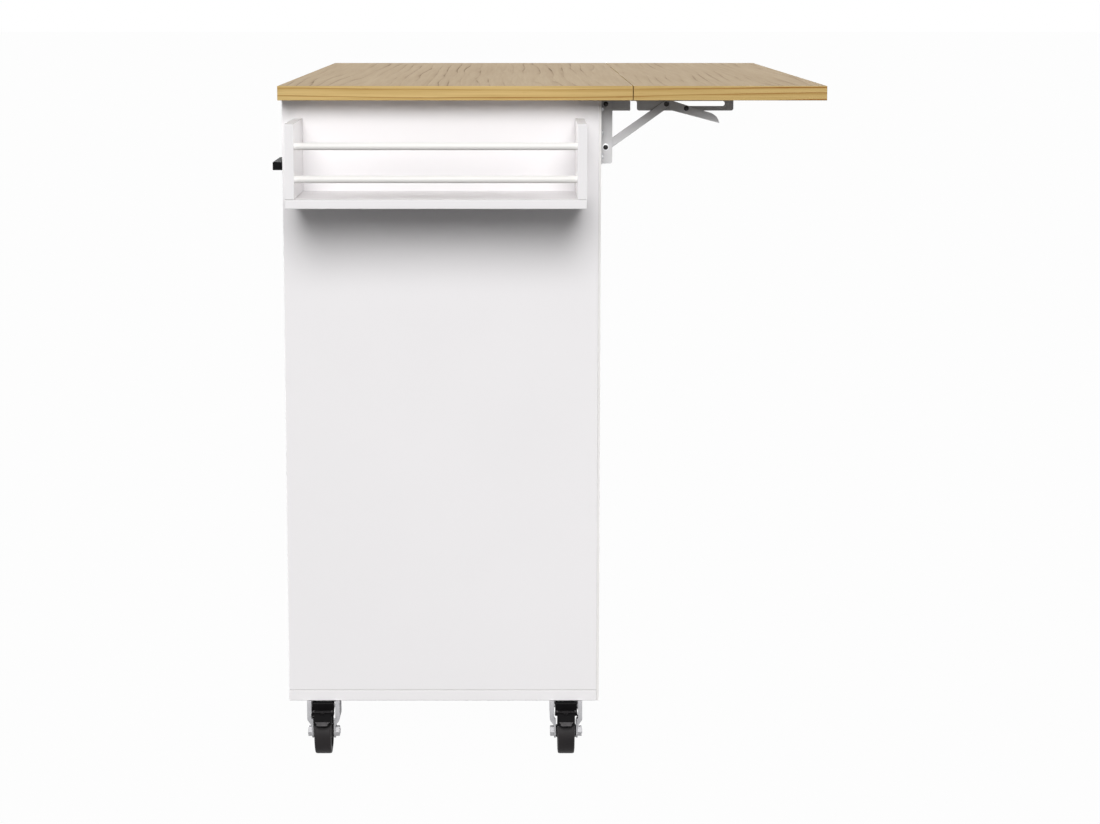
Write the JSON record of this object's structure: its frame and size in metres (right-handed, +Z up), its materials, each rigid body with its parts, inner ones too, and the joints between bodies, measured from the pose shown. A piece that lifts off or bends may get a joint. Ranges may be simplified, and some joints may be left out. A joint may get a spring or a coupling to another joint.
{
  "type": "drop leaf kitchen island",
  "caption": "Kitchen island on locking swivel casters with an oak top, a drop leaf on folding brackets, drawers over doors and an end spice rack.",
  "frame": {"origin": "on the floor, under the middle of the whole island with its leaf raised and its spice rack", "axes": "+X along the worktop towards the spice rack end, -Y towards the person at the drawers and doors, +Y towards the leaf, +Z up"},
  "size_m": [1.151, 0.7534, 0.92],
  "materials": {
    "white_board": "satin white laminated board",
    "white_wood": "satin white paint on round wood",
    "oak_laminate": "matt oak wood-grain laminate with matching edge band",
    "zinc_steel": "bright zinc plate",
    "bracket_steel": "satin grey zinc plate",
    "black_rivet": "blackened rivets",
    "black_powder_coat": "matt black powder coat",
    "white_plastic": "moulded white plastic",
    "caster_steel": "bright zinc plated pressed steel",
    "black_tread": "smooth black wheel with a slight sheen",
    "black_nylon": "moulded black nylon"
  },
  "bodies": {
    "cabinet": {"base_board": "white_board", "end_panel_right": "white_board", "end_panel_left": "white_board", "back_panel": "white_board", "centre_divider": "white_board", "drawer_dividers": "white_board", "top_ties": "white_board", "adjustable_shelves": "white_board", "shelf_pins": "zinc_steel", "worktop": "oak_laminate", "spice_rack_shelf": "white_board", "spice_rack_upright_front": "white_board", "spice_rack_upright_back": "white_board", "spice_rack_rails": "white_wood", "leaf_hinge_plates_fixed": "zinc_steel", "bracket_legs": "bracket_steel", "bracket_arms": "bracket_steel", "bracket_rivets": "black_rivet", "cabinet_screws": "zinc_steel", "door_pivot_pins": "zinc_steel", "door_catches": "white_plastic", "drawer_slides": "zinc_steel", "caster_stems": "zinc_steel"},
    "leaf": {"leaf": "oak_laminate", "leaf_hinge_plates_moving": "zinc_steel", "leaf_rails": "bracket_steel", "lever_rivets": "black_rivet", "leaf_screws": "zinc_steel"},
    "brace_right": {"brace_right": "bracket_steel"},
    "latch_lever_right": {"latch_lever_right": "bracket_steel"},
    "drawer_right": {"drawer_front_right": "white_board", "drawer_box_right": "white_board", "drawer_pull_right": "black_powder_coat", "drawer_runners_right": "zinc_steel"},
    "door_right": {"door_right": "white_board", "door_pull_right": "black_powder_coat"},
    "brace_left": {"brace_left": "bracket_steel"},
    "latch_lever_left": {"latch_lever_left": "bracket_steel"},
    "drawer_left": {"drawer_front_left": "white_board", "drawer_box_left": "white_board", "drawer_pull_left": "black_powder_coat", "drawer_runners_left": "zinc_steel"},
    "door_left": {"door_left": "white_board", "door_pull_left": "black_powder_coat"},
    "caster_right_front": {"caster_fork_right_front": "caster_steel", "caster_axle_right_front": "caster_steel"},
    "wheel_right_front": {"caster_wheel_right_front": "black_tread"},
    "pedal_right_front": {"brake_pedal_right_front": "black_nylon"},
    "caster_right_back": {"caster_fork_right_back": "caster_steel", "caster_axle_right_back": "caster_steel"},
    "wheel_right_back": {"caster_wheel_right_back": "black_tread"},
    "pedal_right_back": {"brake_pedal_right_back": "black_nylon"},
    "caster_left_front": {"caster_fork_left_front": "caster_steel", "caster_axle_left_front": "caster_steel"},
    "wheel_left_front": {"caster_wheel_left_front": "black_tread"},
    "pedal_left_front": {"brake_pedal_left_front": "black_nylon"},
    "caster_left_back": {"caster_fork_left_back": "caster_steel", "caster_axle_left_back": "caster_steel"},
    "wheel_left_back": {"caster_wheel_left_back": "black_tread"},
    "pedal_left_back": {"brake_pedal_left_back": "black_nylon"}
  },
  "joints": [
    {"name": "leaf_fold", "type": "hinge", "parent": "cabinet", "child": "leaf", "pos_m": [-0.0505, 0.12165, 0.8978], "axis": [-1, 0, 0], "range_deg": [0, 90]},
    {"name": "brace_swing_right", "type": "hinge", "parent": "cabinet", "child": "brace_right", "pos_m": [0.3965, 0.08825, 0.8349], "axis": [-1, 0, 0], "range_deg": [0, 125.5]},
    {"name": "latch_lever_press_right", "type": "hinge", "parent": "leaf", "child": "latch_lever_right", "pos_m": [0.3985, 0.19665, 0.8872], "axis": [1, 0, 0], "range_deg": [0, 12], "stiffness_Nm_per_rad": 0.05, "springref_deg": -11.46},
    {"name": "drawer_slide_right", "type": "slide", "parent": "cabinet", "child": "drawer_right", "axis": [0, -1, 0], "range_m": [0, 0.26]},
    {"name": "door_swing_right", "type": "hinge", "parent": "cabinet", "child": "door_right", "pos_m": [0.411, -0.33735, 0.3935], "axis": [0, 0, 1], "range_deg": [0, 95]},
    {"name": "brace_swing_left", "type": "hinge", "parent": "cabinet", "child": "brace_left", "pos_m": [-0.4975, 0.08825, 0.8349], "axis": [-1, 0, 0], "range_deg": [0, 125.5]},
    {"name": "latch_lever_press_left", "type": "hinge", "parent": "leaf", "child": "latch_lever_left", "pos_m": [-0.4995, 0.19665, 0.8872], "axis": [1, 0, 0], "range_deg": [0, 12], "stiffness_Nm_per_rad": 0.05, "springref_deg": -11.46},
    {"name": "drawer_slide_left", "type": "slide", "parent": "cabinet", "child": "drawer_left", "axis": [0, -1, 0], "range_m": [0, 0.26]},
    {"name": "door_swing_left", "type": "hinge", "parent": "cabinet", "child": "door_left", "pos_m": [-0.512, -0.33735, 0.3935], "axis": [0, 0, -1], "range_deg": [0, 95]},
    {"name": "swivel_right_front", "type": "hinge", "parent": "cabinet", "child": "caster_right_front", "pos_m": [0.4015, -0.29785, 0.066], "axis": [0, 0, 1], "continuous": true},
    {"name": "roll_right_front", "type": "hinge", "parent": "caster_right_front", "child": "wheel_right_front", "pos_m": [0.4265, -0.29785, 0.031], "axis": [0, 1, 0], "continuous": true},
    {"name": "brake_right_front", "type": "hinge", "parent": "caster_right_front", "child": "pedal_right_front", "pos_m": [0.4345, -0.29785, 0.069], "axis": [0, 1, 0], "range_deg": [0, 5]},
    {"name": "swivel_right_back", "type": "hinge", "parent": "cabinet", "child": "caster_right_back", "pos_m": [0.4015, 0.03615, 0.066], "axis": [0, 0, 1], "continuous": true},
    {"name": "roll_right_back", "type": "hinge", "parent": "caster_right_back", "child": "wheel_right_back", "pos_m": [0.4265, 0.03615, 0.031], "axis": [0, 1, 0], "continuous": true},
    {"name": "brake_right_back", "type": "hinge", "parent": "caster_right_back", "child": "pedal_right_back", "pos_m": [0.4345, 0.03615, 0.069], "axis": [0, 1, 0], "range_deg": [0, 5]},
    {"name": "swivel_left_front", "type": "hinge", "parent": "cabinet", "child": "caster_left_front", "pos_m": [-0.5025, -0.29785, 0.066], "axis": [0, 0, 1], "continuous": true},
    {"name": "roll_left_front", "type": "hinge", "parent": "caster_left_front", "child": "wheel_left_front", "pos_m": [-0.5275, -0.29785, 0.031], "axis": [0, 1, 0], "continuous": true},
    {"name": "brake_left_front", "type": "hinge", "parent": "caster_left_front", "child": "pedal_left_front", "pos_m": [-0.5355, -0.29785, 0.069], "axis": [0, -1, 0], "range_deg": [0, 5]},
    {"name": "swivel_left_back", "type": "hinge", "parent": "cabinet", "child": "caster_left_back", "pos_m": [-0.5025, 0.03615, 0.066], "axis": [0, 0, 1], "continuous": true},
    {"name": "roll_left_back", "type": "hinge", "parent": "caster_left_back", "child": "wheel_left_back", "pos_m": [-0.5275, 0.03615, 0.031], "axis": [0, 1, 0], "continuous": true},
    {"name": "brake_left_back", "type": "hinge", "parent": "caster_left_back", "child": "pedal_left_back", "pos_m": [-0.5355, 0.03615, 0.069], "axis": [0, -1, 0], "range_deg": [0, 5]}
  ],
  "couplings": [
    {"joint": "brace_swing_right", "follows": "leaf_fold", "ratio": 1.3933},
    {"joint": "brace_swing_left", "follows": "leaf_fold", "ratio": 1.3933}
  ]
}
